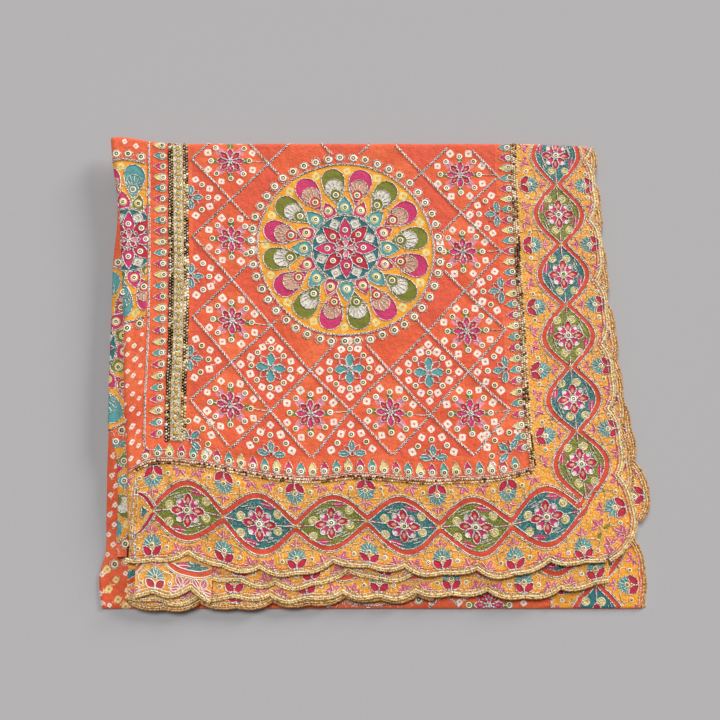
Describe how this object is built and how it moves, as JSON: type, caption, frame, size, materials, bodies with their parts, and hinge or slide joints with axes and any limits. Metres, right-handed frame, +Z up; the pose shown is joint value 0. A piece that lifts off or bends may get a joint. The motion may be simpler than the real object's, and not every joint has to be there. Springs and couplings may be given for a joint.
{
  "type": "folded dupatta",
  "caption": "Folded embroidered dupatta lying flat, with a scalloped corded edge, patterned borders, a gold braid band and staggered plies at the front and sides.",
  "frame": {"origin": "middle of the pack's footprint, on the surface it rests on", "axes": "+X along the cloth's length towards its finished end, +Y from the long edge at the front to the fold at the back, +Z up"},
  "size_m": [0.5483, 0.4848, 0.0226],
  "materials": {
    "printed_cloth": "crepe silk, printed and embroidered",
    "border_cloth": "crepe silk, printed and embroidered",
    "reverse_cloth": "wrong side of the printed silk",
    "edging_cord": "gold silk cord, overlocked",
    "zari": "gold metal thread braid",
    "silver_thread": "silver metal thread, couched",
    "sequins": "cupped sequins with a metallic film"
  },
  "bodies": {
    "root": {"top_layer_field": "printed_cloth", "top_layer_front_border": "border_cloth", "top_layer_end_border": "border_cloth", "top_edging_front": "edging_cord", "top_edging_end": "edging_cord", "reverse_flap": "reverse_cloth", "flap_edging": "edging_cord", "second_layer_front": "reverse_cloth", "second_edging_front": "edging_cord", "second_layer_end": "reverse_cloth", "second_edging_end": "edging_cord", "third_layer_front": "border_cloth", "third_edging_front": "edging_cord", "third_layer_end": "border_cloth", "third_edging_end": "edging_cord", "fourth_layer_front": "border_cloth", "fourth_edging_front": "edging_cord", "left_fold": "printed_cloth", "lowest_layer": "printed_cloth", "lowest_edging_end": "edging_cord", "folded_core": "printed_cloth", "zari_braid": "zari", "sequin_row_body_side": "sequins", "sequin_row_pallu_side": "sequins", "bead_line_front": "silver_thread", "bead_line_end": "silver_thread"}
  },
  "joints": []
}
